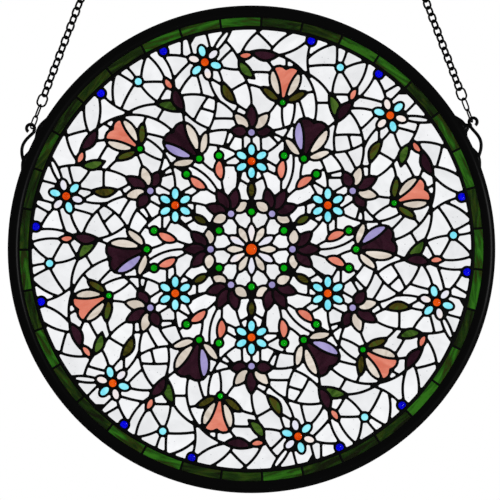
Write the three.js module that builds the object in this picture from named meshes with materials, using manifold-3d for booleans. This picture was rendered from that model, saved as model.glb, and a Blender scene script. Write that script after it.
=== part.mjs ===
// Round hanging stained glass panel: glass held by a solder lattice in a channel rim, hung from two chains.
// Millimetres. The panel stands in the XZ plane, its front faces -Y and +Z is up.
// The origin lies above the middle of the panel, at the height of the tops of the two hanging rings.
import * as THREE from 'three';
import { mergeVertices } from 'three/addons/utils/BufferGeometryUtils.js';
import Module from 'manifold-3d';

const wasm = await Module();
wasm.setup();

// Panel
const PANEL_DROP = 304;
const FOLD = 6;
const GAP = 0.3;
const GLASS_THICK = 3;
const SOLDER_THICK = 5.2;
const SEAM_HALF = 1.35;

// Rim and border
const RIM_OUTER = 279.4;
const RIM_INNER = 266;
const RIM_DEPTH = 11;
const RIM_EDGE_DEPTH = 4.8;
const RIM_CREST = 4.8;
const GROOVE_RADIUS = 271.5;
const GROOVE_WIDTH = 3.8;
const ROUND_STEPS = 44;
const FIELD_RADIUS = 254;
const RING_HALF = 2;
const BORDER_OUTER = 270.9;

// Centre
const JEWEL_SEAM = 7.6;
const JEWEL_STEPS = 12;

// Figures: the turn between the leaves of a palmette and their lengths from its heart, and an aqua blossom
const FAN_STEP = 42;
const FAN_HEART = 5.2;
const FAN_NOTCH = 14.5;
const FAN_LEAVES = [19, 25, 27, 25, 19];
const BLOSSOM_PETALS = 6;
const BLOSSOM_TIP = 21;
const BLOSSOM_NOTCH = 11.5;

// Hangers: angles in degrees up from the panel's middle, and distances out from the rim
const HANGER_WIRE = 1.9;
const CURL_RADIUS = 4.6;
const CURL_TURN = 285;
const HOOK_TURN = 125;
const HOOK_GAP = 1.05;
const LUMP_THICK = 4;
const FOOT_SINK = 2.4;
const HANGERS = [
  {
    name: 'left', side: -1, foot: 20.8, touch: 28.5, touchOut: 1.7, belly: 6.5, curlAt: 28.7, curlOut: 9.5,
    lumps: [{ at: 20.4, long: 9, out: 1.8 }, { at: 29.2, long: 8, out: 3 }],
  },
  {
    name: 'right', side: 1, foot: 21.7, touch: 29.2, touchOut: 6.5, belly: 7.9, curlAt: 29.9, curlOut: 13.8,
    lumps: [
      { at: 21.4, long: 8, out: 1.8 },
      { at: 29.7, long: 4.6, out: 8.6 },
      { at: 30.9, long: 7.5, out: 5 },
    ],
  },
];

// Chains
const LEAN = 20.9;
const CHAIN_WIRE = 1.1;
const LINK_WIDTH = 11.4;
const LINK_PITCH = 8.6;
const LINK_TURN = 45;
const LINK_STEPS = 6;
const LINK_SIDES = 4;
const LINK_BITE = 0.9;
const LINK_END = Math.sin(Math.PI / 3);
const NARROW_LENGTH = 17.4;
const NARROW_WIDTH = 12.6;
const NARROW_TURN = 70;
const LARGE_LENGTH = 16.4;
const LARGE_WIDTH = 12.4;
const LARGE_TURN = 5;
const RING_RADIUS = 7;
const RING_WIRE = 1.3;

// Points and outlines in the plane of the panel

function polar(radius, degrees) {
  const turn = THREE.MathUtils.degToRad(degrees);
  return new THREE.Vector2(radius * Math.cos(turn), radius * Math.sin(turn));
}

function turned(points, degrees) {
  const centre = new THREE.Vector2();
  const turn = THREE.MathUtils.degToRad(degrees);
  return points.map((point) => point.clone().rotateAround(centre, turn));
}

function placed(points, at, heading) {
  return turned(points, heading).map((point) => point.add(at));
}

function ellipse(long, short, count) {
  const points = [];
  for (let i = 0; i < count; i++) {
    const turn = (2 * Math.PI * i) / count;
    points.push(new THREE.Vector2(long * Math.cos(turn), short * Math.sin(turn)));
  }
  return points;
}

// Moves a counter-clockwise outline outwards by `amount`, or inwards where it is negative.
function offset(points, amount) {
  const count = points.length;
  return points.map((point, i) => {
    const before = point.clone().sub(points[(i + count - 1) % count]).normalize();
    const after = points[(i + 1) % count].clone().sub(point).normalize();
    const outBefore = new THREE.Vector2(before.y, -before.x);
    const outAfter = new THREE.Vector2(after.y, -after.x);
    const middle = outBefore.clone().add(outAfter).normalize();
    const reach = 1 / Math.max(middle.dot(outAfter), 0.45);
    return point.clone().addScaledVector(middle, amount * reach);
  });
}

function bar(start, end, half) {
  const along = end.clone().sub(start).normalize();
  const aside = new THREE.Vector2(-along.y, along.x).multiplyScalar(half);
  return [
    start.clone().sub(aside),
    end.clone().sub(aside),
    end.clone().add(aside),
    start.clone().add(aside),
  ];
}

// Solids

function solid(geometry) {
  const bare = geometry.clone();
  bare.deleteAttribute('normal');
  bare.deleteAttribute('uv');
  const merged = mergeVertices(bare, 1e-4);
  return new wasm.Manifold(new wasm.Mesh({
    numProp: 3,
    vertProperties: new Float32Array(merged.attributes.position.array),
    triVerts: new Uint32Array(merged.index.array),
  }));
}

function plate(points, thick) {
  const shape = new THREE.Shape(points);
  const geometry = new THREE.ExtrudeGeometry(shape, { depth: thick, bevelEnabled: false });
  geometry.translate(0, 0, -thick / 2);
  geometry.rotateX(Math.PI / 2);
  geometry.translate(0, 0, -PANEL_DROP);
  return solid(geometry);
}

function joined(solids) {
  return solids.reduce((whole, one) => whole.add(one));
}

function disc(radius, thick, count = ROUND_STEPS) {
  return plate(ellipse(radius, radius, count), thick);
}

// A closed band around the panel's axis, from its profile of [radius, y] pairs
function band(profile) {
  const points = profile.map(([radius, y]) => new THREE.Vector2(radius, -y));
  points.push(points[0].clone());
  const geometry = new THREE.LatheGeometry(points, ROUND_STEPS);
  geometry.rotateX(Math.PI);
  geometry.translate(0, 0, -PANEL_DROP);
  return solid(geometry);
}

// A wire along points that lie in one plane; `across` is the plane's normal.
function wire(points, across, radius, sides, closed) {
  const positions = [];
  const faces = [];
  const count = points.length;
  points.forEach((point, i) => {
    const before = points[closed ? (i + count - 1) % count : Math.max(i - 1, 0)];
    const after = points[closed ? (i + 1) % count : Math.min(i + 1, count - 1)];
    const along = after.clone().sub(before).normalize();
    const arriving = point.equals(before) ? along : point.clone().sub(before).normalize();
    const mitre = 1 / Math.max(along.dot(arriving), 0.5);
    const aside = new THREE.Vector3().crossVectors(across, along).multiplyScalar(mitre);
    for (let s = 0; s < sides; s++) {
      const turn = (2 * Math.PI * (s + 0.5)) / sides;
      const corner = point.clone();
      corner.addScaledVector(aside, radius * Math.cos(turn));
      corner.addScaledVector(across, radius * Math.sin(turn));
      positions.push(corner.x, corner.y, corner.z);
    }
  });
  const spans = closed ? count : count - 1;
  for (let i = 0; i < spans; i++) {
    const ring = i * sides;
    const next = ((i + 1) % count) * sides;
    for (let s = 0; s < sides; s++) {
      const beside = (s + 1) % sides;
      faces.push(ring + s, ring + beside, next + s);
      faces.push(ring + beside, next + beside, next + s);
    }
  }
  if (!closed) {
    const last = (count - 1) * sides;
    for (let s = 1; s < sides - 1; s++) {
      faces.push(0, s + 1, s);
      faces.push(last, last + s, last + s + 1);
    }
  }
  const geometry = new THREE.BufferGeometry();
  geometry.setAttribute('position', new THREE.Float32BufferAttribute(positions, 3));
  geometry.setIndex(faces);
  return solid(geometry);
}

// Figures of one sixth of the field, as silhouettes along the middle of their seams

// A fan of leaves around a round heart
function palmette(at, heading) {
  const outline = [];
  FAN_LEAVES.forEach((length, i) => {
    const turn = heading + (i - 2) * FAN_STEP;
    if (i > 0) {
      outline.push(polar(FAN_NOTCH, turn - FAN_STEP / 2));
    }
    outline.push(polar(FAN_HEART + length, turn));
  });
  outline.push(polar(FAN_HEART + 1, heading + 150));
  outline.push(polar(FAN_HEART + 1, heading + 210));
  return placed(outline, at, 0);
}

// Rounded petals all around a jewel
function blossom(at, heading) {
  const step = 360 / BLOSSOM_PETALS;
  const outline = [];
  for (let i = 0; i < BLOSSOM_PETALS; i++) {
    outline.push(polar(BLOSSOM_NOTCH, heading + (i - 0.5) * step));
    outline.push(polar(BLOSSOM_TIP, heading + i * step));
  }
  return placed(outline, at, 0);
}

// Makes a counter-clockwise outline from its right half, listed from the back to the front.
function bothSides(half) {
  const left = half.filter(([, y]) => y !== 0).map(([x, y]) => [x, -y]).reverse();
  return [...half, ...left].map(([x, y]) => new THREE.Vector2(x, y));
}

// A tulip seen from the side, its bead at `at` and its mouth along the heading
function tulip(at, heading, size, spread) {
  const half = [
    [-0.1, 0],
    [0.36, -spread],
    [0.94, -0.44],
    [1.05, -0.2],
    [0.97, 0],
  ];
  const outline = bothSides(half).map((point) => point.multiplyScalar(size));
  return placed(outline, at, heading);
}

const FIGURES = {
  palmette_inner: palmette(polar(47, 0), 0),
  blossom: blossom(polar(101, 30), 30),
  palmette_outer: palmette(polar(134, 30), 30),
  tulip_plum: tulip(polar(120, 0), 14, 44, 0.66),
  tulip_salmon: tulip(polar(172, 18), 24, 40, 0.68),
};

// Seams that tie the figures of a sixth together, from the jewel out to the ring
const SEAMS = [
  [polar(JEWEL_SEAM, 0), polar(47, 0)],
  [polar(55, 24), polar(55, 36)],
  [polar(55, 30), polar(101, 30)],
  [polar(101, 30), polar(134, 30)],
  [polar(77, 0), polar(120, 0)],
  [polar(158, 3), polar(172, 18)],
  [polar(206, 19), polar(FIELD_RADIUS, 19)],
];

function sector(index, points) {
  return turned(points, (360 / FOLD) * index);
}

function allFigures() {
  const list = [];
  Object.entries(FIGURES).forEach(([kind, outline]) => {
    for (let i = 0; i < FOLD; i++) {
      list.push({ name: `${kind}_${i + 1}`, kind, outline: sector(i, outline) });
    }
  });
  return list;
}

function figurePlate(outline, grow, thick) {
  return plate(offset(outline, grow), thick);
}

function seamBars(half) {
  const bars = [];
  SEAMS.forEach(([start, end]) => {
    for (let i = 0; i < FOLD; i++) {
      const [from, to] = sector(i, [start, end]);
      bars.push(plate(bar(from, to, half), SOLDER_THICK));
    }
  });
  return joined(bars);
}

function fieldRing(inner, outer, thick) {
  return disc(outer, thick).subtract(disc(inner, thick + 2));
}

// Pieces of the panel

// A channel whose faces slope down from a flat crest to the rim's edges
function rimSolid() {
  const half = RIM_DEPTH / 2;
  const edge = RIM_EDGE_DEPTH / 2;
  const groove = GROOVE_WIDTH / 2;
  const middle = (RIM_OUTER + RIM_INNER) / 2;
  const crestInner = middle - RIM_CREST / 2;
  const crestOuter = middle + RIM_CREST / 2;
  return band([
    [RIM_INNER, groove],
    [RIM_INNER, edge],
    [crestInner, half],
    [crestOuter, half],
    [RIM_OUTER, edge],
    [RIM_OUTER, -edge],
    [crestOuter, -half],
    [crestInner, -half],
    [RIM_INNER, -edge],
    [RIM_INNER, -groove],
    [GROOVE_RADIUS, -groove],
    [GROOVE_RADIUS, groove],
  ]);
}

function borderSolid() {
  return fieldRing(FIELD_RADIUS + RING_HALF + GAP, BORDER_OUTER, GLASS_THICK);
}

function jewelSolid() {
  return disc(JEWEL_SEAM - SEAM_HALF - GAP, GLASS_THICK, JEWEL_STEPS);
}

function latticeSolid(list) {
  const blocks = list.map(({ outline }) => figurePlate(outline, SEAM_HALF, SOLDER_THICK));
  const ring = fieldRing(FIELD_RADIUS - RING_HALF, FIELD_RADIUS + RING_HALF, SOLDER_THICK);
  const collar = disc(JEWEL_SEAM + SEAM_HALF, SOLDER_THICK, JEWEL_STEPS);
  let lattice = joined([...blocks, collar, seamBars(SEAM_HALF), ring]);
  list.forEach(({ outline }) => {
    lattice = lattice.subtract(figurePlate(outline, -SEAM_HALF, SOLDER_THICK + 2));
  });
  return lattice.subtract(disc(JEWEL_SEAM - SEAM_HALF, SOLDER_THICK + 2, JEWEL_STEPS));
}

function groundSolids(list) {
  let ground = disc(FIELD_RADIUS - RING_HALF - GAP, GLASS_THICK);
  list.forEach(({ outline }) => {
    ground = ground.subtract(figurePlate(outline, SEAM_HALF + GAP, SOLDER_THICK));
  });
  ground = ground.subtract(disc(JEWEL_SEAM + SEAM_HALF + GAP, SOLDER_THICK, JEWEL_STEPS));
  ground = ground.subtract(seamBars(SEAM_HALF + GAP));
  return ground.decompose();
}

// Hangers and chains

const DEPTH_AXIS = new THREE.Vector3(0, 1, 0);

function upright(point) {
  return new THREE.Vector3(point.x, 0, point.y - PANEL_DROP);
}

function onSide(points, side) {
  return points.map((point) => new THREE.Vector2(side * point.x, point.y));
}

function curlMiddle(hanger) {
  return polar(RIM_OUTER + hanger.curlOut, hanger.curlAt);
}

// The scroll of one hanger: it bellies out from the rim, comes back towards it and curls outwards.
function hangerPath(hanger) {
  const rest = RIM_OUTER + HANGER_WIRE + GAP;
  const path = [];
  const steps = 9;
  for (let i = 0; i <= steps; i++) {
    const share = i / steps;
    const out = hanger.belly * Math.sin(Math.PI * share ** 0.9) ** 1.2 + hanger.touchOut * share ** 2;
    const sink = FOOT_SINK * (1 - share) ** 3;
    path.push(polar(rest + out - sink, hanger.foot + (hanger.touch - hanger.foot) * share));
  }
  const middle = curlMiddle(hanger);
  const turns = 8;
  const start = 200 + hanger.touch;
  for (let i = 0; i <= turns; i++) {
    path.push(middle.clone().add(polar(CURL_RADIUS, start - (CURL_TURN * i) / turns)));
  }
  return path;
}

// A lump of solder that holds the hanger on the rim's edge
function lumpSolid(side, lump) {
  const geometry = new THREE.SphereGeometry(1, 6, 4);
  geometry.rotateX(Math.PI / 2);
  geometry.scale(lump.out, LUMP_THICK, lump.long);
  geometry.rotateY(-THREE.MathUtils.degToRad(side * lump.at));
  const middle = upright(onSide([polar(RIM_OUTER, lump.at)], side)[0]);
  geometry.translate(middle.x, middle.y, middle.z);
  return solid(geometry);
}

function hangerSolid(hanger) {
  const points = onSide(hangerPath(hanger), hanger.side).map(upright);
  const scroll = wire(points, DEPTH_AXIS, HANGER_WIRE, 5, false);
  const lumps = hanger.lumps.map((lump) => lumpSolid(hanger.side, lump));
  return joined([scroll, ...lumps]).subtract(disc(RIM_OUTER + GAP, RIM_DEPTH));
}

// A stadium-shaped link: its middle, its long direction, its wide direction and its outer sizes
function link(middle, along, wide, length, width, radius) {
  const bendRadius = width / 2 - radius;
  const straight = length / 2 - width / 2;
  const points = [];
  const across = new THREE.Vector3().crossVectors(wide, along).normalize();
  for (let i = 0; i < LINK_STEPS; i++) {
    const turn = (2 * Math.PI * i) / LINK_STEPS;
    const reach = straight * Math.round(Math.sin(turn)) + bendRadius * Math.sin(turn) / LINK_END;
    const point = middle.clone();
    point.addScaledVector(wide, bendRadius * Math.cos(turn));
    point.addScaledVector(along, reach);
    points.push(point);
  }
  return wire(points, across, radius, LINK_SIDES, true);
}

// The line of one chain: its hook point inside the curl, its direction and its length up to the ring
function chainLine(hanger) {
  const tilt = THREE.MathUtils.degToRad(LEAN);
  const along = new THREE.Vector3(-hanger.side * Math.sin(tilt), 0, Math.cos(tilt));
  const top = curlMiddle(hanger).add(polar(CURL_RADIUS, HOOK_TURN));
  const hook = upright(onSide([top], hanger.side)[0]);
  hook.addScaledVector(along, -HANGER_WIRE - HOOK_GAP - CHAIN_WIRE);
  const length = (0 - RING_RADIUS - hook.z) / along.z;
  return { along, hook, length };
}

function chainSolid(line) {
  const sideways = new THREE.Vector3().crossVectors(DEPTH_AXIS, line.along);
  const overlap = 4 * CHAIN_WIRE - LINK_BITE;
  const links = [];
  let reach = -CHAIN_WIRE;
  const addLink = (length, width, turn) => {
    const middle = line.hook.clone().addScaledVector(line.along, reach + length / 2);
    const angle = THREE.MathUtils.degToRad(turn);
    const wide = sideways.clone().multiplyScalar(Math.cos(angle));
    wide.addScaledVector(DEPTH_AXIS, Math.sin(angle));
    links.push(link(middle, line.along, wide, length, width, CHAIN_WIRE));
    reach += length - overlap;
  };
  addLink(NARROW_LENGTH, NARROW_WIDTH, NARROW_TURN);
  addLink(NARROW_LENGTH, NARROW_WIDTH, -NARROW_TURN);
  addLink(LARGE_LENGTH, LARGE_WIDTH, LARGE_TURN);
  const end = line.length - RING_RADIUS + RING_WIRE + HOOK_GAP + 2 * CHAIN_WIRE;
  const count = Math.round((end - reach - overlap) / LINK_PITCH);
  const pitch = (end - reach - overlap) / count;
  for (let i = 0; i < count; i++) {
    addLink(pitch + overlap, LINK_WIDTH, i % 2 ? LINK_TURN : -LINK_TURN);
  }
  return joined(links);
}

function ringSolid(line) {
  const middle = line.hook.clone().addScaledVector(line.along, line.length);
  const sideways = new THREE.Vector3().crossVectors(DEPTH_AXIS, line.along);
  const points = [];
  const steps = 10;
  for (let i = 0; i < steps; i++) {
    const turn = (2 * Math.PI * i) / steps;
    const point = middle.clone();
    point.addScaledVector(sideways, RING_RADIUS * Math.cos(turn));
    point.addScaledVector(line.along, RING_RADIUS * Math.sin(turn));
    points.push(point);
  }
  return wire(points, DEPTH_AXIS, RING_WIRE, 4, true);
}

// Colours
const METAL = { color: 0x0b0b0c, roughness: 0.45, metalness: 0.6 };
const GLASS = {
  clear: { color: 0xf0f1f3, roughness: 0.1, metalness: 0 },
  border: { color: 0x2a5a1c, roughness: 0.15, metalness: 0 },
  jewel: { color: 0xf05a0a, roughness: 0.1, metalness: 0 },
  palmette_inner: { color: 0x3a192a, roughness: 0.15, metalness: 0 },
  palmette_outer: { color: 0x3a192a, roughness: 0.15, metalness: 0 },
  tulip_plum: { color: 0x5a3a60, roughness: 0.15, metalness: 0 },
  tulip_salmon: { color: 0xe88c78, roughness: 0.15, metalness: 0 },
  blossom: { color: 0x82e6f5, roughness: 0.12, metalness: 0 },
};

const part = new THREE.Group();

function addNode(name, body, look) {
  const mesh = body.getMesh();
  const geometry = new THREE.BufferGeometry();
  geometry.setAttribute('position', new THREE.BufferAttribute(new Float32Array(mesh.vertProperties), 3));
  geometry.setIndex(new THREE.BufferAttribute(new Uint32Array(mesh.triVerts), 1));
  geometry.computeVertexNormals();
  const node = new THREE.Mesh(geometry, new THREE.MeshStandardMaterial(look));
  node.name = name;
  part.add(node);
}

const figures = allFigures();
addNode('rim', rimSolid(), METAL);
addNode('border_glass', borderSolid(), GLASS.border);
addNode('solder_lattice', latticeSolid(figures), METAL);
addNode('centre_jewel', jewelSolid(), GLASS.jewel);
figures.forEach(({ name, kind, outline }) => {
  addNode(name, figurePlate(outline, -SEAM_HALF - GAP, GLASS_THICK), GLASS[kind]);
});

const panes = groundSolids(figures);
panes.sort((first, second) => second.volume() - first.volume());
panes.slice(0, FOLD).forEach((pane, i) => addNode(`ground_${i + 1}`, pane, GLASS.clear));
panes.slice(FOLD, 2 * FOLD).forEach((pane, i) => addNode(`centre_ground_${i + 1}`, pane, GLASS.clear));

HANGERS.forEach((hanger) => {
  const line = chainLine(hanger);
  addNode(`hanger_${hanger.name}`, hangerSolid(hanger), METAL);
  addNode(`chain_${hanger.name}`, chainSolid(line), METAL);
  addNode(`ring_${hanger.name}`, ringSolid(line), METAL);
});

export default part;
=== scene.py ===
import math

import bpy
import numpy as np
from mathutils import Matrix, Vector
from mathutils.geometry import delaunay_2d_cdt


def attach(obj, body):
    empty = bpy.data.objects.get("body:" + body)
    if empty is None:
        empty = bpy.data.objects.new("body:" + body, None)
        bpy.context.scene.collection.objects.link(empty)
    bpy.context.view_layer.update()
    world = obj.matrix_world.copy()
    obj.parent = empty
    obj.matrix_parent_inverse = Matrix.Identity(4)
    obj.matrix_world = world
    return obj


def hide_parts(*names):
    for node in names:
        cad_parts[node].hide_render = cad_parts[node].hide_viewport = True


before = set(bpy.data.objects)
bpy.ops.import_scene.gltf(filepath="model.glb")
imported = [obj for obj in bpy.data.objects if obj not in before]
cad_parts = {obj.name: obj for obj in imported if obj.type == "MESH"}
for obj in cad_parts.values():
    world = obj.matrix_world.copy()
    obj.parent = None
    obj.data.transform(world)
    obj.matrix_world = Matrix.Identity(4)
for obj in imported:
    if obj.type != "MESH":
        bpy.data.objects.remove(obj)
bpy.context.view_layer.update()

# Panel, rim and border: sizes in millimetres, angles in degrees
MM = 0.001
PANEL_DROP = 304.0
FOLD = 6
SIXTH = 360 / FOLD
RIM_OUTER = 279.4
RIM_INNER = 266.0
RIM_DEPTH = 11.0
RIM_EDGE_DEPTH = 4.8
GROOVE_RADIUS = 271.5
GROOVE_WIDTH = 3.8
RIM_STEPS = 240
RIM_FACE_POINTS = 17
FIELD_RADIUS = 254.0
RING_HALF = 2.1
RING_SEAM_STEPS = 180
BORDER_PIECES = 35
BORDER_START = 5.25
BORDER_INNER = FIELD_RADIUS + 0.8
BORDER_OUTER = 269.0
BORDER_GAP = 0.5
BORDER_SLANT = 12.0
BORDER_POINTS = 9
BORDER_SEED = 3
JOINT_HALF = 1.3
JOINT_ENDS = FIELD_RADIUS + 1, RIM_INNER + 0.4

# Glass and solder
GLASS_HALF = 1.5
SEAM_HALF = 1.52
GLASS_LAP = 0.4
CORNER_ROUND = 1.1
BEAD_EDGE = 1.52
BEAD_TOP = 2.6
BEAD_LINE = 0.6
DOME_FRONT = 4.2
DOME_BACK = 2.8
DOME_FRONT_RINGS = 78, 58, 36, 14
DOME_BACK_RINGS = 0, 30, 58, 78
JEWEL_SEAM = 7.6
ROSETTE_TIP = 31.0
PANE_SEED = 7
GRID_STEP = 0.6
SMALLEST_LOOP = 3.0
WELD = 1e-3
FINE_WELD = 1e-4

# Seam lines of the clear ground
GROUND_BEND = 0.016
LINE_STEP = 1.5
LINE_STEPS = 100
LINE_ROOT = 0.5
LINE_HEAD = 0.15
LINE_BITE = 0.05
PROBE_AHEAD = 0.8
PROBE_EDGE = 0.2
SNAP = 4.0
SNAP_CLEAR = 6.0
CROWD_GAP = 4.0
CROWD_SHARE = 0.35
CROWD_ENDS = 4
COVER_SHRINK = 0.995
MAX_PANE = 700.0
TWO_CUT_PANE = 1.5 * MAX_PANE
CUT_ROUNDS = 4
CUT_REACH = 150
CUT_TURN = 15

# Hangers: angles in degrees up from the panel's middle, and distances out from the rim
HANGER_WIRE = 1.9
CURL_RADIUS = 4.6
CURL_START = 200
CURL_TURN = 285.0
HOOK_TURN = 125.0
HOOK_GAP = 1.05
GAP = 0.3
LUMP_THICK = 4.0
FOOT_SINK = 2.4
HANGER_SIDES = 12
BELLY_POINTS = 28
CURL_POINTS = 30
HANGERS = {
    "left": {
        "side": -1, "foot": 20.8, "touch": 28.5, "touch_out": 1.7,
        "belly": 6.5, "curl_at": 28.7, "curl_out": 9.5,
        "lumps": ((21.4, 13.0, 3.4), (29.9, 15.0, 3.4)),
    },
    "right": {
        "side": 1, "foot": 21.7, "touch": 29.2, "touch_out": 6.5,
        "belly": 7.9, "curl_at": 29.9, "curl_out": 13.8,
        "lumps": ((22.2, 14.0, 3.8), (29.7, 8.0, 8.6), (30.5, 15.0, 5.6)),
    },
}

# Chains
LEAN = 20.9
CHAIN_WIRE = 1.2
NARROW_WIRE = 0.95
LARGE_WIRE = 1.1
LINK_WIDTH = 11.4
LINK_PITCH = 8.6
LINK_TURN = 45.0
LINK_BITE = 0.1
LINK_STEPS = 28
LINK_SIDES = 8
NARROW_LENGTH = 17.4
NARROW_WIDTH = 12.6
NARROW_TURN = 70.0
LARGE_LENGTH = 16.4
LARGE_WIDTH = 12.4
LARGE_TURN = 5.0
RING_RADIUS = 7.0
RING_WIRE = 1.3
RING_STEPS = 32
RING_SIDES = 10

# The sixth of the field that is worked out; the others are turned copies of it
WINDOW_START = -11.0


# Points and outlines in the plane of the panel

def turned(points, degrees):
    angle = math.radians(degrees)
    cosine, sine = math.cos(angle), math.sin(angle)
    return np.asarray(points, float) @ np.array([[cosine, sine], [-sine, cosine]])


def polar(radius, degrees):
    angle = math.radians(degrees)
    return np.array([radius * math.cos(angle), radius * math.sin(angle)])


def placed(points, at, heading):
    return turned(points, heading) + np.asarray(at, float)


def ellipse(long, short, count):
    angle = np.linspace(0, 2 * math.pi, count, endpoint=False)
    return np.c_[long * np.cos(angle), short * np.sin(angle)]


def lens(length, width, bend=0.0, fullness=0.9, skew=1.0):
    """A pointed outline along +X from the origin."""
    share = np.linspace(0, 1, 11)
    half = width / 2 * np.sin(math.pi * share ** skew) ** fullness
    axis = bend * 4 * share * (1 - share)
    along = length * share
    lower = np.c_[along, axis - half]
    upper = np.c_[along, axis + half][::-1][1:-1]
    return np.vstack([lower, upper])


def curve(*points, count=7):
    """A smooth curve from the first point to the last, pulled by the points between them."""
    share = np.linspace(0, 1, count)[:, None]
    mixed = [np.asarray(point, float) for point in points]
    while len(mixed) > 1:
        mixed = [(1 - share) * start + share * end for start, end in zip(mixed, mixed[1:])]
    return mixed[0]


def inside(points, loop):
    """For each point, whether it lies in the closed outline."""
    return inside_edges(points, segments(loop, True))


def inside_edges(points, edges):
    x, y = points[:, 0][:, None], points[:, 1][:, None]
    (ax, ay), (bx, by) = edges[:, 0].T, edges[:, 1].T
    crosses = (ay > y) != (by > y)
    with np.errstate(divide="ignore", invalid="ignore"):
        hit = ax + (y - ay) * (bx - ax) / (by - ay)
    return np.sum(crosses & (x < hit), axis=1) % 2 == 1


def sixfold(points):
    return [turned(points, SIXTH * k) for k in range(FOLD)]


def segments(points, closed):
    path = np.vstack([points, points[:1]]) if closed else points
    return np.stack([path[:-1], path[1:]], axis=1)


def in_window(point):
    return (math.degrees(math.atan2(point[1], point[0])) - WINDOW_START) % 360 < SIXTH


# Figures of one sixth of the field, drawn along the middle of their seams

class Cartoon:
    def __init__(self):
        self.figures = []
        self.lines = []
        self.tips = []

    def add(self, kind, outline):
        self.figures.append((kind, np.asarray(outline, float)))

    def tip(self, point, heading):
        """A point from which a seam line runs on along its heading, with a steady bend."""
        self.tips.append((np.asarray(point, float), heading))

    def bead(self, kind, at, radius):
        self.add(kind, ellipse(radius, radius, 20) + at)

    def leaf(self, kind, at, heading, length, width, bend=0.0, ends=(0, 1)):
        self.add(kind, placed(lens(length, width, bend), at, heading))
        slope = math.degrees(math.atan2(4 * bend, length))
        far = placed([[length, 0]], at, heading)[0]
        tips = [(at, heading + 180 + slope), (far, heading - slope)]
        for end in ends:
            self.tip(*tips[end])

    def palmette(self, at, heading, kinds):
        """A fan of five leaves around a round lilac heart."""
        heart = 5.2
        for i, (kind, length) in enumerate(zip(kinds, (19, 25, 27, 25, 19))):
            turn = heading + (i - 2) * 42
            root = at + polar(heart * 0.9, turn)
            self.add(kind, placed(lens(length + heart * 0.1, 13.2, 0, 0.75, 0.85), root, turn))
            self.tip(at + polar(heart + length, turn), turn)
        self.bead("lilac", at, heart)
        self.tip(at - polar(heart, heading), heading + 180)

    def blossom(self, at, heading, kinds):
        """Six rounded petals around an orange jewel."""
        heart, long, short = 5.8, 7.3, 5.0
        for i, kind in enumerate(kinds):
            turn = heading + 60 * i
            self.add(kind, placed(ellipse(long, short, 24), at + polar(heart + long, turn), turn))
            self.tip(at + polar(heart + 2 * long, turn), turn)
        self.bead("orange", at, heart)

    def tulip(self, at, heading, size, cup, petals, sepals, spread):
        """A tulip seen from the side, its bead at `at` and its mouth along the heading."""
        bead = 0.11

        def put(points):
            return placed(np.asarray(points, float) * size, at, heading)

        self.add("green", put(ellipse(bead, bead, 18)))
        side = curve((bead, -0.06), (0.5, -0.12), (0.7, -0.18), (0.96, -0.38), count=8)
        mouth = curve((0.96, -0.38), (1.12, -0.18), (0.97, 0.0), count=5)[1:]
        half = np.vstack([side, mouth])
        self.add(cup, put(np.vstack([half, (half * (1, -1))[::-1][1:]])))
        outer = curve((bead, -0.06), (0.3, -0.44), (0.74, -0.54), (0.96, -0.38), count=9)
        petal = np.vstack([outer, side[::-1][1:-1]])
        sepal_tip = (0.36, -spread - 0.16)
        sepal_back = curve((0.07, -0.075), (-0.1, -0.34), sepal_tip)
        sepal_front = curve(sepal_tip, (0.5, -0.44), (0.07, -0.075))[1:-1]
        sepal = np.vstack([sepal_back, sepal_front])
        for mirror, kind in ((-1, petals[0]), (1, petals[1])):
            self.add(kind, put(petal * (1, mirror)))
            self.add(sepals, put(sepal * (1, mirror)))
            self.tip(put([(0.96, -0.38 * mirror)])[0], heading - 40 * mirror)
            self.tip(put([(sepal_tip[0], sepal_tip[1] * mirror)])[0], heading - 75 * mirror)
        self.tip(put([(0.97, 0.0)])[0], heading)
        self.tip(put([(-bead, 0)])[0], heading + 180)

    def bud(self, at, heading):
        """A salmon bud with a green bead at its point."""
        length, bead = 25, 5.0
        self.add("salmon", placed(lens(length, 11, 1.5, 0.72), at, heading))
        middle = placed([[length + bead * 0.75, 0]], at, heading)[0]
        self.bead("green", middle, bead)
        self.tip(at, heading + 180)
        self.tip(middle + polar(bead, heading), heading)

    def sprig(self, at, heading, length):
        """A plum leaf that ends in a small salmon bud."""
        self.leaf("plum", at, heading, length, 12, 2.5)
        point = placed([[length * 0.9, 2.0]], at, heading)[0]
        self.leaf("salmon", point, heading + 14, 19, 8.4, 1.0, ends=(1,))

    def border_bead(self, kind, at_angle, radius, middle):
        self.bead(kind, polar(middle, at_angle), radius)
        self.tip(polar(middle - radius, at_angle), at_angle + 180)
        if middle + radius < FIELD_RADIUS - RING_HALF:
            self.tip(polar(middle + radius, at_angle), at_angle)

    def sweep(self, at_angle, slant):
        """A seam line that leaves the ring at a slant and sweeps into the field."""
        self.tip(polar(FIELD_RADIUS, at_angle), at_angle + 180 - slant)


def rosette_petal():
    """One of the twelve petals around the jewel, along +X."""
    foot = polar(20, -15)
    point = polar(ROSETTE_TIP, 0)
    right = curve(foot, polar(26, -12), point, count=6)
    left = (right * (1, -1))[::-1][1:]
    inner = [polar(JEWEL_SEAM, 15 - 7.5 * k) for k in range(5)]
    return np.vstack([right, left, inner])


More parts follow.
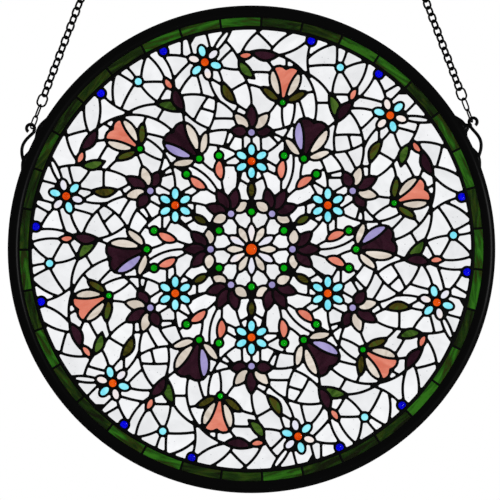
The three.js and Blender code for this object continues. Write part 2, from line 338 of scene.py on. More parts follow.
def draw_sixth():
    cartoon = Cartoon()
    cartoon.add("cream", rosette_petal())
    cartoon.add("pearl", turned(rosette_petal(), 30))
    cartoon.tip(polar(ROSETTE_TIP, 0), 0)
    cartoon.tip(polar(ROSETTE_TIP, 30), 30)
    cartoon.bead("green", polar(43, 30), 5.0)
    cartoon.palmette(polar(47, 0), 0, ["cream", "plum", "plum", "plum", "cream"])
    cartoon.leaf("olive", polar(57, 30), 30, 22, 9)
    cartoon.blossom(polar(101, 30), 30, ["aqua"] * 6)
    cartoon.bud(polar(86, 6.5), 24)
    cartoon.bud(polar(86, -6.5), -24)
    cartoon.palmette(polar(134, 30), 30, ["plum", "cream", "plum", "cream", "plum"])
    cartoon.tulip(polar(120, 0), 14, 44, "plum", ("lilac", "cream"), "cream", 0.5)
    cartoon.tulip(polar(172, 18), 24, 40, "salmon", ("cream", "cream"), "olive", 0.52)
    cartoon.blossom(polar(221, 44), 44, ["aqua", "pearl"] * 3)
    cartoon.leaf("olive", polar(168, 36), 62, 30, 11, 2.5)
    cartoon.leaf("leaf", polar(176, -4), 46, 34, 12, -2.5, ends=(1,))
    cartoon.leaf("leaf", polar(196, 29), 70, 28, 11, 2.0)
    cartoon.sprig(polar(225, 22), 113, 32)
    cartoon.sprig(polar(176, -4), -8, 30)
    cartoon.border_bead("blue", -6, 5.8, 248.6)
    cartoon.border_bead("blue", 14, 5.8, 248.6)
    cartoon.border_bead("aqua", 4, 5.4, 232)
    for angle in (-2, 8, 19, 27, 36):
        cartoon.sweep(angle, 55)
    return cartoon


# Seam lines of the clear ground

def first_hit(start, end, walls):
    """The share along start-end at which it first crosses a wall, or None."""
    way = end - start
    edge = walls[:, 1] - walls[:, 0]
    gap = walls[:, 0] - start
    turn = way[0] * edge[:, 1] - way[1] * edge[:, 0]
    with np.errstate(divide="ignore", invalid="ignore"):
        share = (gap[:, 0] * edge[:, 1] - gap[:, 1] * edge[:, 0]) / turn
        along = (gap[:, 0] * way[1] - gap[:, 1] * way[0]) / turn
    hits = (np.abs(turn) > 1e-12) & (share > 1e-6) & (share <= 1) & (along >= -1e-6) & (along <= 1 + 1e-6)
    return share[hits].min() if hits.any() else None


def grown_line(start, heading, bend, walls, anchors):
    """A line that runs on with a steady bend until it meets a wall, or a tip close to where it meets it."""
    point = start + polar(LINE_HEAD, heading)
    line = [start - polar(LINE_ROOT, heading)]
    for _ in range(LINE_STEPS):
        ahead = point + polar(LINE_STEP, heading)
        share = first_hit(point, ahead, walls)
        if share is not None:
            hit = point + (ahead - point) * share + polar(LINE_BITE, heading)
            if len(anchors):
                away = np.hypot(*(anchors - hit).T)
                nearest = anchors[int(np.argmin(away))]
                if away.min() < SNAP and np.hypot(*(nearest - start)) > SNAP_CLEAR:
                    hit = nearest
            line.append(hit)
            break
        line.append(ahead)
        point = ahead
        heading += math.degrees(LINE_STEP * bend)
    return np.array(line)


def crowded(line, walls):
    """Whether a good part of a line, apart from its ends, runs close beside other seams."""
    near = [wall_distance(point, walls) < CROWD_GAP for point in line[CROWD_ENDS:-CROWD_ENDS]]
    return len(near) > 1 and np.mean(near) > CROWD_SHARE


def wall_distance(point, walls):
    way = walls[:, 1] - walls[:, 0]
    along = np.clip(((point - walls[:, 0]) * way).sum(1) / (way ** 2).sum(1), 0, 1)
    return np.hypot(*(point - walls[:, 0] - along[:, None] * way).T).min()


def walls_of(points, closed):
    return np.concatenate([segments(copy, closed) for copy in sixfold(points)])


def grow_ground_lines(cartoon):
    outlines = figure_copies(cartoon)
    ring = ellipse(FIELD_RADIUS, FIELD_RADIUS, RING_SEAM_STEPS)
    walls = [segments(ring, True)]
    walls += [segments(outline, True) for _, outline in outlines]
    walls = np.concatenate(walls)
    anchors = np.concatenate([np.array(sixfold(point)) for point, _ in cartoon.tips])
    probes = np.array([point + polar(PROBE_AHEAD, heading) for point, heading in cartoon.tips])
    covers = figure_under(probes, outlines, 1.0)
    for (point, heading), probe, cover in zip(cartoon.tips, probes, covers):
        if cover >= 0 or np.hypot(*probe) > FIELD_RADIUS - PROBE_EDGE:
            continue
        line = grown_line(point, heading, GROUND_BEND, walls, anchors)
        if crowded(line, walls):
            continue
        cartoon.lines.append(line)
        walls = np.concatenate([walls, walls_of(line, False)])


def narrowest_heading(start, walls):
    """The heading along which a straight cut through the point is shortest."""
    lengths = {}
    for heading in range(0, 180, CUT_TURN):
        ends = [start + polar(CUT_REACH, heading + turn) for turn in (0, 180)]
        lengths[heading] = sum(first_hit(start, end, walls) or 1.0 for end in ends)
    return min(lengths, key=lengths.get)


def cut_large_panes(cartoon, panes):
    """Cuts each clear pane that is too large where it is narrow, and a very large one in two places."""
    walls = np.concatenate([pane["edges"] for pane in panes])
    for pane in panes:
        if pane["kind"] != "clear" or pane["area"] < MAX_PANE or not in_window(pane["middle"]):
            continue
        starts = [pane["middle"] if inside_edges(pane["middle"][None], pane["edges"])[0] else pane["inner"]]
        if pane["area"] > TWO_CUT_PANE:
            centres = pane["triangles"].mean(1)
            away = np.hypot(*(centres - starts[0]).T)
            starts.append(centres[int(np.argmax(away * triangle_areas(pane["triangles"])))])
        for start in starts:
            heading = narrowest_heading(start, walls)
            ahead = grown_line(start, heading, GROUND_BEND / 2, walls, [])
            behind = grown_line(start, heading + 180, -GROUND_BEND / 2, walls, [])
            line = np.vstack([behind[:0:-1], ahead[1:]])
            cartoon.lines.append(line)
            walls = np.concatenate([walls, walls_of(line, False)])


# Panes: the faces between all the seams

def triangle_areas(corners):
    first = corners[:, 1] - corners[:, 0]
    second = corners[:, 2] - corners[:, 0]
    return np.abs(first[:, 0] * second[:, 1] - first[:, 1] * second[:, 0]) / 2


def sides_of(corners):
    return [tuple(sorted((corners[k], corners[k - 1]))) for k in range(3)]


class Plan:
    """Points and edges of the seams, with each edge's half width and the figure it belongs to."""

    def __init__(self):
        self.points = []
        self.index = {}
        self.edges = []
        self.owners = []
        self.halves = []

    def point(self, point):
        key = (round(float(point[0]), 3), round(float(point[1]), 3))
        if key not in self.index:
            self.index[key] = len(self.points)
            self.points.append(Vector(key))
        return self.index[key]

    def add(self, path, closed, owner, half):
        for start, end in segments(path, closed):
            edge = self.point(start), self.point(end)
            if edge[0] != edge[1]:
                self.edges.append(edge)
                self.owners.append(owner)
                self.halves.append(half)

    def triangles(self):
        """The points, the triangles between all the edges, and their middles."""
        points, _, triangles, _, _, _ = delaunay_2d_cdt(self.points, self.edges, [], 0, FINE_WELD)
        points = np.array([tuple(point) for point in points])
        return points, triangles, np.array([points[list(corners)].mean(0) for corners in triangles])


def figure_copies(cartoon):
    """The outlines of all the figures in all the sixths, each with its figure's number."""
    copies = []
    for number, (_, outline) in enumerate(cartoon.figures):
        copies += [(number, copy) for copy in sixfold(outline)]
    return copies


def figure_under(points, outlines, shrink):
    """For each point, the number of the topmost figure that covers it, or -1."""
    top = np.full(len(points), -1)
    for number, outline in outlines:
        middle = outline.mean(0)
        loop = middle + (outline - middle) * shrink
        near = np.where(((points > loop.min(0)) & (points < loop.max(0))).all(1))[0]
        if len(near):
            covered = near[inside(points[near], loop)]
            top[covered] = np.maximum(top[covered], number)
    return top


def lay_out_panes(cartoon):
    outlines = figure_copies(cartoon)
    plan = Plan()
    for number, outline in outlines:
        plan.add(outline, True, number, SEAM_HALF)
    for line in cartoon.lines:
        for copy in sixfold(line):
            plan.add(copy, False, -1, SEAM_HALF)
    ring = ellipse(FIELD_RADIUS, FIELD_RADIUS, RING_SEAM_STEPS)
    plan.add(ring, True, len(cartoon.figures), RING_HALF)
    points, edges, triangles, _, sources, _ = delaunay_2d_cdt(plan.points, plan.edges, [], 0, WELD)
    points = np.array([tuple(point) for point in points])

    # Seams hidden under a later figure are left out
    rows = [row for row, source in enumerate(sources) if source]
    middles = np.array([(points[edges[row][0]] + points[edges[row][1]]) / 2 for row in rows])
    top = figure_under(middles, outlines, COVER_SHRINK)
    seams = {}
    for row, cover in zip(rows, top):
        if max(plan.owners[source] for source in sources[row]) >= cover:
            seams[tuple(sorted(edges[row]))] = max(plan.halves[source] for source in sources[row])

    # Triangles that no seam parts belong to one pane
    groups = list(range(len(triangles)))

    def group_of(one):
        while groups[one] != one:
            groups[one] = groups[groups[one]]
            one = groups[one]
        return one

    sharing = {}
    for number, corners in enumerate(triangles):
        for edge in sides_of(corners):
            sharing.setdefault(edge, []).append(number)
    for edge, pair in sharing.items():
        if len(pair) == 2 and edge not in seams:
            groups[group_of(pair[0])] = group_of(pair[1])
    for edge in list(seams):
        pair = sharing.get(edge, [])
        if len(pair) == 2 and group_of(pair[0]) == group_of(pair[1]):
            del seams[edge]
    members = {}
    for number in range(len(triangles)):
        members.setdefault(group_of(number), []).append(number)
    panes = [pane_from(points, triangles, group, seams) for group in members.values()]
    tops = figure_under(np.array([pane["inner"] for pane in panes]), outlines, 1.0)
    for pane, top in zip(panes, tops):
        pane["kind"] = cartoon.figures[top][0] if top >= 0 else "clear"
        if is_central(pane):
            pane["kind"] = "orange"
    return panes


def is_central(pane):
    return np.hypot(*pane["middle"]) < 1


def pane_from(points, triangles, group, seams):
    around = set()
    for number in group:
        around.update(sides_of(triangles[number]))
    around = sorted(edge for edge in around if edge in seams)
    corners = np.array([points[list(triangles[number])] for number in group])
    areas = triangle_areas(corners)
    middle = (corners.mean(1) * areas[:, None]).sum(0) / areas.sum()
    return {
        "area": areas.sum(),
        "middle": middle,
        "inner": corners.mean(1)[int(np.argmax(areas))],
        "triangles": corners,
        "edges": np.array([[points[a], points[b]] for a, b in around]),
        "halves": np.array([seams[edge] for edge in around]),
    }


def seam_share(pane, points):
    """Distance of each point from the nearest seam, as a share of its half width, and from its edge."""
    share = np.full(len(points), np.inf)
    gap = np.full(len(points), np.inf)
    for (start, end), half in zip(pane["edges"], pane["halves"]):
        away = distance(points, start, end)
        np.minimum(share, away / half, out=share)
        np.minimum(gap, away - half, out=gap)
    return share, gap


def distance(points, start, end):
    way = end - start
    along = np.clip((points - start) @ way / (way @ way), 0, 1)
    away = points - start - along[:, None] * way
    return np.hypot(away[:, 0], away[:, 1])


class Grid:
    """The seam share on a grid over the pane, and the daylight that the solder leaves."""

    def __init__(self, pane):
        ends = pane["edges"].reshape(-1, 2)
        self.low = ends.min(0) - GRID_STEP
        size = np.ceil((ends.max(0) + GRID_STEP - self.low) / GRID_STEP).astype(int) + 1
        columns = self.low[0] + GRID_STEP * np.arange(size[0])
        rows = self.low[1] + GRID_STEP * np.arange(size[1])
        x, y = np.meshgrid(columns, rows)
        points = np.c_[x.ravel(), y.ravel()]
        share, gap = seam_share(pane, points)
        outside = ~inside_edges(points, pane["edges"])
        share[outside] *= -1
        gap[outside] = -CORNER_ROUND
        self.shape = size[1], size[0]
        self.share = share.reshape(self.shape)
        self.daylight = self.rounded(points, gap)

    def rounded(self, points, gap):
        """Outlines of all that a disc reaches if it keeps clear of the solder."""
        cores = level_loops(self.low, gap.reshape(self.shape), CORNER_ROUND)
        reach = np.where(gap >= CORNER_ROUND, CORNER_ROUND, -CORNER_ROUND)
        near = np.where((gap > -CORNER_ROUND) & (gap < CORNER_ROUND))[0]
        for core in cores:
            for start, end in segments(core, True):
                reach[near] = np.maximum(reach[near], CORNER_ROUND - distance(points[near], start, end))
        return level_loops(self.low, reach.reshape(self.shape), 0.0)

    def loops(self, level):
        return level_loops(self.low, self.share, level)


# Which sides of a grid square a level line joins, by the square's corners above the level
SQUARE_LINES = {
    1: [(3, 0)], 2: [(0, 1)], 3: [(3, 1)], 4: [(1, 2)], 5: [(3, 2), (1, 0)], 6: [(0, 2)], 7: [(3, 2)],
    8: [(2, 3)], 9: [(2, 0)], 10: [(0, 3), (2, 1)], 11: [(2, 1)], 12: [(1, 3)], 13: [(1, 0)], 14: [(0, 3)],
}


def level_loops(low, values, level):
    """Closed loops where values on a grid cross the level."""
    height = values - level
    above = (height > 0).astype(int)
    code = above[:-1, :-1] + 2 * above[:-1, 1:] + 4 * above[1:, 1:] + 8 * above[1:, :-1]
    follows = {}
    for row, column in zip(*np.where((code > 0) & (code < 15))):
        sides = ((row, column, 0), (row, column + 1, 1), (row + 1, column, 0), (row, column, 1))
        for start, end in SQUARE_LINES[code[row, column]]:
            follows[sides[start]] = sides[end]

    def crossing(side):
        row, column, upright = side
        here = height[row, column]
        there = height[row + 1, column] if upright else height[row, column + 1]
        share_along = here / (here - there)
        x = column + (0 if upright else share_along)
        y = row + (share_along if upright else 0)
        return low[0] + GRID_STEP * x, low[1] + GRID_STEP * y

    loops = []
    while follows:
        side = next(iter(follows))
        loop = []
        while side in follows:
            loop.append(crossing(side))
            side = follows.pop(side)
        loop = thinned(np.array(loop))
        if len(loop) > 3 and abs(loop_area(loop)) > SMALLEST_LOOP:
            loops.append(loop)
    return loops


def loop_area(loop):
    after = np.roll(loop, -1, axis=0)
    return float(np.sum(loop[:, 0] * after[:, 1] - after[:, 0] * loop[:, 1])) / 2


def thinned(loop, slack=0.06):
    """Leaves out points of a closed loop that lie within the slack of the line past them."""
    far = int(np.argmax(np.hypot(*(loop - loop[0]).T)))
    keep = {0, far}
    spans = [(0, far), (far, len(loop))]
    closed = np.vstack([loop, loop[:1]])
    while spans:
        start, end = spans.pop()
        if end - start < 2:
            continue
        way = closed[end] - closed[start]
        length = np.hypot(*way) or 1.0
        between = closed[start + 1:end] - closed[start]
        away = np.abs(way[0] * between[:, 1] - way[1] * between[:, 0]) / length
        worst = int(np.argmax(away))
        if away[worst] > slack:
            middle = start + 1 + worst
            keep.add(middle)
            spans += [(start, middle), (middle, end)]
    return loop[sorted(keep)]


def fill(loops):
    """Triangles inside closed loops, as points and faces."""
    plan = Plan()
    for loop in loops:
        plan.add(loop, True, 0, 0)
    points, triangles, middles = plan.triangles()
    edges = np.concatenate([segments(loop, True) for loop in loops])
    keep = inside_edges(middles, edges)
    return points, [corners for corners, kept in zip(triangles, keep) if kept]


# Meshes: points are (x, depth, z) in millimetres around the middle of the panel

class Build:
    def __init__(self):
        self.points = []
        self.faces = []
        self.grain = []

    def add(self, points, faces, grain=None):
        base = len(self.points)
        self.points.extend(map(tuple, points))
        self.faces.extend(tuple(base + corner for corner in face) for face in faces)
        if grain is not None:
            self.grain.extend(map(tuple, grain))

    def piece(self, name, material, slot, nodes=(), sharp=40):
        mesh = bpy.data.meshes.new(name)
        points = np.array(self.points) * MM
        points[:, 2] -= PANEL_DROP * MM
        mesh.from_pydata(points.tolist(), [], self.faces)
        if self.grain:
            layer = mesh.attributes.new("grain", "FLOAT_VECTOR", "POINT")
            layer.data.foreach_set("vector", np.array(self.grain, np.float32).ravel())
        mesh.update()
        mesh.shade_smooth()
        mesh.set_sharp_from_angle(angle=math.radians(sharp))
        mesh.materials.append(material)
        piece = bpy.data.objects.new(name, mesh)
        bpy.context.scene.collection.objects.link(piece)
        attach(piece, "root")
        if nodes:
            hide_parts(*nodes)


def deep(points, depth):
    """Points of the panel's plane at a depth, which is negative towards the front."""
    return np.c_[points[:, 0], np.broadcast_to(depth, len(points)), points[:, 1]]


def grain_of(points, angle, number):
    """Pane coordinates along and across its streaks, and the pane's own number."""
    local = turned(points, -angle)
    return np.c_[local, np.full(len(points), number)]


def add_slab(build, loops, angle, number):
    points, triangles = fill(loops)
    count = len(points)
    faces = [tuple(corners) for corners in triangles]
    faces += [tuple(count + corner for corner in reversed(corners)) for corners in triangles]
    edges = dict.fromkeys((corners[k - 1], corners[k]) for corners in triangles for k in range(3))
    for start, end in edges:
        if (end, start) not in edges:
            faces.append((end, start, count + start, count + end))
    both = np.vstack([deep(points, -GLASS_HALF), deep(points, GLASS_HALF)])
    grain = grain_of(points, angle, number)
    build.add(both, faces, np.vstack([grain, grain]))


def ring_faces(rings, count, closed):
    """Faces between rings of points; `closed` joins the last ring to the first."""
    faces = []
    for ring in range(rings if closed else rings - 1):
        here, there = ring * count, (ring + 1) % rings * count
        for k in range(count):
            after = (k + 1) % count
            faces.append((here + k, here + after, there + after, there + k))
    return faces


def add_dome(build, loop, number):
    """A rounded jewel over a loop, higher in front than behind."""
    if loop_area(loop) < 0:
        loop = loop[::-1]
    middle = loop.mean(0)
    count = len(loop)
    rings = []
    for height, steps in ((-DOME_FRONT, DOME_FRONT_RINGS), (DOME_BACK, DOME_BACK_RINGS)):
        for step in steps:
            lift = GLASS_HALF / 2 + (abs(height) - GLASS_HALF / 2) * math.sin(math.radians(step))
            ring = middle + (loop - middle) * math.cos(math.radians(step))
            rings.append(deep(ring, math.copysign(lift, height)))
    ends = deep(np.array([middle, middle]), np.array([-DOME_FRONT, DOME_BACK]))
    points = np.vstack(rings + [ends])
    faces = [face[::-1] for face in ring_faces(len(rings), count, False)]
    last = (len(rings) - 1) * count
    front, back = len(points) - 2, len(points) - 1
    for k in range(count):
        after = (k + 1) % count
        faces.append((front, k, after))
        faces.append((back, last + after, last + k))
    build.add(points, faces, grain_of(np.c_[points[:, 0], points[:, 2]], 0, number))


def bead_height(share):
    return BEAD_EDGE + (BEAD_TOP - BEAD_EDGE) * np.sqrt(np.clip(1 - share ** 2, 0, 1))


def seam_strip(pane, grid):
    """The solder inside one pane's outline, as points, heights and faces."""
    plan = Plan()
    for edge in pane["edges"]:
        plan.add(edge, False, 0, 0)
    for loop in grid.loops(BEAD_LINE) + grid.daylight:
        plan.add(loop, True, 0, 0)
    points, triangles, middles = plan.triangles()
    keep = inside_edges(middles, pane["edges"])
    if grid.daylight:
        keep &= ~inside_edges(middles, np.concatenate([segments(loop, True) for loop in grid.daylight]))
    faces = [tuple(corners) for corners, kept in zip(triangles, keep) if kept]
    return points, bead_height(seam_share(pane, points)[0]), faces


JEWELS = ("orange", "aqua", "green", "blue")


def make_panes(panes):
    """Glass by kind and all the solder inside the field."""
    glass = {}
    solder = Build()
    chance = np.random.default_rng(PANE_SEED)
    for pane in panes:
        central = is_central(pane)
        if not central and not in_window(pane["middle"]):
            continue
        grid = Grid(pane)
        strip, heights, faces = seam_strip(pane, grid)
        loops = grid.loops(GLASS_LAP)
        kind = pane["kind"]
        build = glass.setdefault(kind, Build())
        for k in range(1 if central else FOLD):
            around = turned(strip, SIXTH * k)
            solder.add(deep(around, -heights), faces)
            solder.add(deep(around, heights), [face[::-1] for face in faces])
            if not grid.daylight:
                continue
            copies = [turned(loop, SIXTH * k) for loop in loops]
            number = chance.uniform(0, 100)
            if kind in JEWELS:
                for copy in copies:
                    add_dome(build, copy, number)
            else:
                add_slab(build, copies, chance.uniform(0, 360), number)
    return glass, solder


def lathe(build, profile, count):
    """Turns a closed profile of (radius, depth) points around the panel's axis."""
    points = []
    for k in range(count):
        for radius, depth in profile:
            x, z = polar(radius, 360 * k / count)
            points.append((x, depth, z))
    build.add(points, ring_faces(count, len(profile), True))


def make_rim(material):
    """A channel with rounded faces: each is an arc between the rim's edges."""
    half = RIM_DEPTH / 2
    groove = GROOVE_WIDTH / 2
    crest = (RIM_OUTER + RIM_INNER) / 2
    reach = (RIM_OUTER - RIM_INNER) / 2
    sag = (RIM_DEPTH - RIM_EDGE_DEPTH) / 2
    bow = (reach ** 2 + sag ** 2) / (2 * sag)
    front = []
    for across in np.linspace(-reach, reach, RIM_FACE_POINTS):
        front.append((crest + across, -half + bow - math.sqrt(bow ** 2 - across ** 2)))
    back = [(radius, -depth) for radius, depth in reversed(front)]
    channel = [(RIM_INNER, groove), (GROOVE_RADIUS, groove), (GROOVE_RADIUS, -groove), (RIM_INNER, -groove)]
    profile = [*front, *back, *channel]
    rim = Build()
    lathe(rim, profile, RIM_STEPS)
    rim.piece("rim", material, "rim_metal", ["rim"])


def add_border_solder(solder):
    """The outer half of the ring seam and the joints between the border pieces."""
    profile = []
    for share in (0.0, 0.35, 0.6, 0.85, 1.0):
        profile.append((FIELD_RADIUS + RING_HALF * share, -bead_height(share)))
    profile += [(radius, -depth) for radius, depth in reversed(profile)]
    lathe(solder, profile, RING_SEAM_STEPS)
    count = 9
    sweep = np.linspace(-1, 1, count)
    heights = bead_height(sweep)
    for k in range(BORDER_PIECES):
        angle = BORDER_START + 360 * k / BORDER_PIECES
        for front in (-1, 1):
            rows = []
            for radius in JOINT_ENDS:
                line = np.c_[np.full(count, radius), sweep * JOINT_HALF]
                rows.append(deep(turned(line, angle), front * heights))
            faces = [(j, j + 1, count + j + 1, count + j) for j in range(count - 1)]
            solder.add(np.vstack(rows), faces if front > 0 else [face[::-1] for face in faces])


def make_border(material):
    border = Build()
    chance = np.random.default_rng(BORDER_SEED)
    step = 360 / BORDER_PIECES
    for k in range(BORDER_PIECES):
        start = BORDER_START + k * step
        gap = math.degrees(BORDER_GAP / FIELD_RADIUS)
        angles = np.linspace(start + gap, start + step - gap, BORDER_POINTS)
        outer = np.array([polar(BORDER_OUTER, angle) for angle in angles])
        inner = np.array([polar(BORDER_INNER, angle) for angle in angles])[::-1]
        along = start + step / 2 + 90 + chance.uniform(-BORDER_SLANT, BORDER_SLANT)
        add_slab(border, [np.vstack([outer, inner])], along, chance.uniform(0, 100))
    border.piece("border_panes", material, "border_glass", ["border_glass"])


# Wires: hangers, chains and rings

def add_wire(build, path, across, radius, sides, closed):
    """A round wire along points of one plane; `across` is the plane's normal."""
    path = np.asarray(path, float)
    count = len(path)
    points = []
    for i in range(count):
        before = path[i - 1] if closed or i else path[i]
        after = path[(i + 1) % count] if closed or i < count - 1 else path[i]
        along = (after - before) / np.linalg.norm(after - before)
        aside = np.cross(across, along)
        for s in range(sides):
            turn = 2 * math.pi * s / sides
            points.append(path[i] + radius * (aside * math.cos(turn) + across * math.sin(turn)))
    faces = ring_faces(count, sides, closed)
    if not closed:
        faces.append(tuple(reversed(range(sides))))
        faces.append(tuple((count - 1) * sides + s for s in range(sides)))
    build.add(points, faces)


DEPTH_AXIS = np.array([0.0, 1.0, 0.0])


def upright(points, side):
    return np.array([(side * x, 0.0, z) for x, z in points])


def curl_middle(hanger):
    return polar(RIM_OUTER + hanger["curl_out"], hanger["curl_at"])


def hanger_path(hanger):
    """A scroll that bellies out from the rim, comes back towards it and curls outwards."""
    rest = RIM_OUTER + HANGER_WIRE + GAP
    foot, touch = hanger["foot"], hanger["touch"]
    path = []
    for share in np.linspace(0, 1, BELLY_POINTS):
        out = hanger["belly"] * math.sin(math.pi * share ** 0.9) ** 1.2 + hanger["touch_out"] * share ** 2
        sink = FOOT_SINK * (1 - share) ** 3
        path.append(polar(rest + out - sink, foot + (touch - foot) * share))
    for share in np.linspace(0, 1, CURL_POINTS):
        path.append(curl_middle(hanger) + polar(CURL_RADIUS, CURL_START + touch - CURL_TURN * share))
    return path


def add_lump(build, angle, long, out):
    """A lump of solder that tapers off along the rim's edge."""
    rows, columns = 12, 16
    points = []
    for row in range(rows + 1):
        lift = math.pi * (row / rows - 0.5)
        along = angle + math.degrees(long * math.sin(lift) / RIM_OUTER)
        swell = math.cos(lift) ** 3
        for column in range(columns):
            turn = 2 * math.pi * column / columns
            x, z = polar(RIM_OUTER + out * swell * math.cos(turn), along)
            points.append((x, LUMP_THICK * swell * math.sin(turn), z))
    build.add(points, [face[::-1] for face in ring_faces(rows + 1, columns, False)])


def chain_line(hanger):
    """The chain's hook point inside the curl, its direction and its length up to the ring."""
    tilt = math.radians(LEAN)
    along = np.array([-hanger["side"] * math.sin(tilt), 0.0, math.cos(tilt)])
    top = curl_middle(hanger) + polar(CURL_RADIUS, HOOK_TURN)
    hook = upright([top], hanger["side"])[0] - along * (HANGER_WIRE + HOOK_GAP + CHAIN_WIRE)
    length = (PANEL_DROP - RING_RADIUS - hook[2]) / along[2]
    return hook, along, length


def link_path(middle, along, wide, length, width, wire):
    bend = width / 2 - wire
    straight = length / 2 - width / 2
    path = []
    for k in range(LINK_STEPS):
        turn = 2 * math.pi * (k + 0.5) / LINK_STEPS
        reach = bend * math.sin(turn) + math.copysign(straight, math.sin(turn))
        path.append(middle + wide * bend * math.cos(turn) + along * reach)
    return path


def make_chain(name, hook, along, length, material):
    sideways = np.cross(DEPTH_AXIS, along)
    narrow = NARROW_LENGTH, NARROW_WIDTH, NARROW_WIRE
    links = [(*narrow, NARROW_TURN), (*narrow, -NARROW_TURN)]
    links.append((LARGE_LENGTH, LARGE_WIDTH, LARGE_WIRE, LARGE_TURN))
    wires = [wire for _, _, wire, _ in links] + [CHAIN_WIRE]
    overlaps = [2 * (wire + after) - LINK_BITE for wire, after in zip(wires, wires[1:])]
    end = length - RING_RADIUS + RING_WIRE + HOOK_GAP + 2 * CHAIN_WIRE
    reach = sum(link[0] - overlap for link, overlap in zip(links, overlaps)) - NARROW_WIRE
    overlap = 4 * CHAIN_WIRE - LINK_BITE
    count = round((end - reach - overlap) / LINK_PITCH)
    pitch = (end - reach - overlap) / count
    for k in range(count):
        links.append((pitch + overlap, LINK_WIDTH, CHAIN_WIRE, LINK_TURN if k % 2 else -LINK_TURN))
        overlaps.append(overlap)
    chain = Build()
    reach = -NARROW_WIRE
    for (link_length, width, wire, turn), lap in zip(links, overlaps):
        middle = hook + along * (reach + link_length / 2)
        angle = math.radians(turn)
        wide = sideways * math.cos(angle) + DEPTH_AXIS * math.sin(angle)
        path = link_path(middle, along, wide, link_length, width, wire)
        add_wire(chain, path, np.cross(wide, along), wire, LINK_SIDES, True)
        reach += link_length - lap
    chain.piece("chain_" + name, material, "chain_metal", ["chain_" + name])


def make_ring(name, middle, along, material):
    sideways = np.cross(DEPTH_AXIS, along)
    path = []
    for k in range(RING_STEPS):
        turn = 2 * math.pi * k / RING_STEPS
        path.append(middle + RING_RADIUS * (sideways * math.cos(turn) + along * math.sin(turn)))
    ring = Build()
    add_wire(ring, path, DEPTH_AXIS, RING_WIRE, RING_SIDES, True)
    ring.piece("ring_" + name, material, "chain_metal", ["ring_" + name])


def make_hanging(name, hanger, rim_metal, chain_metal):
    side = hanger["side"]
    scroll = Build()
    add_wire(scroll, upright(hanger_path(hanger), side), DEPTH_AXIS, HANGER_WIRE, HANGER_SIDES, False)
    for angle, long, out in hanger["lumps"]:
        add_lump(scroll, 90 + side * (angle - 90), long, out)
    scroll.piece("hanger_" + name, rim_metal, "rim_metal", ["hanger_" + name])
    hook, along, length = chain_line(hanger)
    make_chain(name, hook, along, length, chain_metal)
    make_ring(name, hook + along * length, along, chain_metal)


# Materials

GLASS_BEND = 1.12
CLEAR_ROUGHNESS = 0.02
SEED_SCALE = 0.16
SEED_REACH = 0.05, 0.11
METAL_BLACK = 0.0006
METAL_SHEEN = 0.02
RIM_ROUGHNESS = 0.22
SOLDER_ROUGHNESS = 0.6
CHAIN_ROUGHNESS = 0.5


def linear(red, green, blue):
    shares = [value / 255 for value in (red, green, blue)]
    return (*[s / 12.92 if s <= 0.04045 else ((s + 0.055) / 1.055) ** 2.4 for s in shares], 1.0)


def new_material(name):
    material = bpy.data.materials.new(name)
    material.use_nodes = True
    return material, material.node_tree, material.node_tree.nodes["Principled BSDF"]


def opaque(name, grey, roughness, sheen):
    material, _, shader = new_material(name)
    shader.inputs["Base Color"].default_value = (grey, grey, grey, 1)
    shader.inputs["Roughness"].default_value = roughness
    shader.inputs["Specular IOR Level"].default_value = sheen
    return material


def metal(name, roughness):
    return opaque(name, METAL_BLACK, roughness, METAL_SHEEN)


def math_node(tree, operation, first, second):
    """A math node; each input is a number or another node's output."""
    node = tree.nodes.new("ShaderNodeMath")
    node.operation = operation
    for socket, value in zip(node.inputs, (first, second)):
        if isinstance(value, (int, float)):
            socket.default_value = value
        else:
            tree.links.new(value, socket)
    return node.outputs[0]


def pane_tone(tree, grain, streak, spread):
    """Streaky noise along each pane's grain, raised or lowered by a tone of the pane's own."""
    stretch = tree.nodes.new("ShaderNodeVectorMath")
    stretch.operation = "MULTIPLY"
    stretch.inputs[1].default_value = (streak[0], streak[1], 1.0)
    noise = tree.nodes.new("ShaderNodeTexNoise")
    noise.inputs["Scale"].default_value = 1.0
    noise.inputs["Detail"].default_value = 3.0
    noise.inputs["Distortion"].default_value = 0.6
    parts = tree.nodes.new("ShaderNodeSeparateXYZ")
    own = tree.nodes.new("ShaderNodeTexWhiteNoise")
    own.noise_dimensions = "1D"
    tree.links.new(grain, stretch.inputs[0])
    tree.links.new(stretch.outputs[0], noise.inputs["Vector"])
    tree.links.new(grain, parts.inputs[0])
    tree.links.new(parts.outputs["Z"], own.inputs["W"])
    shift = math_node(tree, "MULTIPLY", math_node(tree, "SUBTRACT", own.outputs["Value"], 0.5), spread)
    return math_node(tree, "ADD", noise.outputs["Fac"], shift)


def colour_ramp(tree, tone, stops):
    ramp = tree.nodes.new("ShaderNodeValToRGB")
    elements = ramp.color_ramp.elements
    while len(elements) < len(stops):
        elements.new(0.5)
    for element, (position, colour) in zip(elements, stops):
        element.position = position
        element.color = linear(*colour)
    tree.links.new(tone, ramp.inputs["Fac"])
    return ramp.outputs["Color"]


def see_through(name, roughness):
    """Glass with its node tree, its colour socket and the grain of its panes."""
    material, tree, shader = new_material(name)
    shader.inputs["Roughness"].default_value = roughness
    shader.inputs["IOR"].default_value = GLASS_BEND
    shader.inputs["Transmission Weight"].default_value = 1.0
    grain = tree.nodes.new("ShaderNodeAttribute")
    grain.attribute_name = "grain"
    return material, tree, shader.inputs["Base Color"], grain.outputs["Vector"]


def glass(name, stops, streak, spread, roughness):
    """Tinted glass: colour stops along the tone of each pane."""
    material, tree, colour, grain = see_through(name, roughness)
    tone = pane_tone(tree, grain, streak, spread)
    tree.links.new(colour_ramp(tree, tone, stops), colour)
    return material


